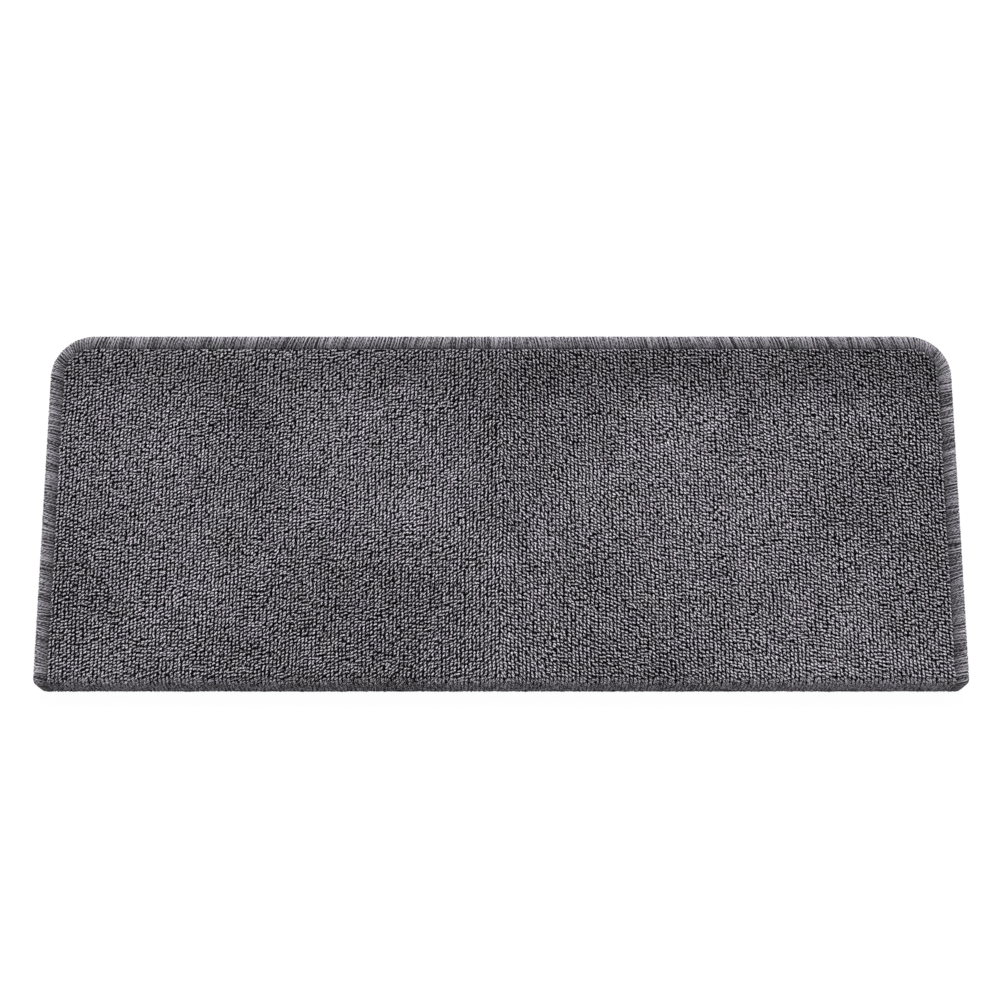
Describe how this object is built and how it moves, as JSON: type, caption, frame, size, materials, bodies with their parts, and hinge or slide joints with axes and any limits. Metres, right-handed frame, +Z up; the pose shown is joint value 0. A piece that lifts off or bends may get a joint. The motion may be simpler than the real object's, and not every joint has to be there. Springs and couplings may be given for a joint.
{
  "type": "anti slip stair tread mat",
  "caption": "Loop-pile carpet mat for one stair tread, with an anti-slip backing, a whipped yarn edge, rounded rear corners and a front nose bent down over the stair's edge.",
  "frame": {"origin": "middle of the mat's width and depth, on the flat underside that rests on the stair tread", "axes": "+X across the stair along the mat's width, +Y towards the riser behind, +Z up; the nose hangs down at the -Y edge"},
  "size_m": [0.65, 0.256, 0.036],
  "materials": {
    "pile": "matte loop pile in mottled dark and light grey yarn",
    "backing": "matte, with small grip dots",
    "whipping": "matte grey yarn",
    "thread": "matte light grey sewing thread"
  },
  "bodies": {
    "root": {"loop_pile_carpet": "pile", "anti_slip_backing": "backing", "whipped_edge": "whipping", "needle_thread": "thread"}
  },
  "joints": []
}
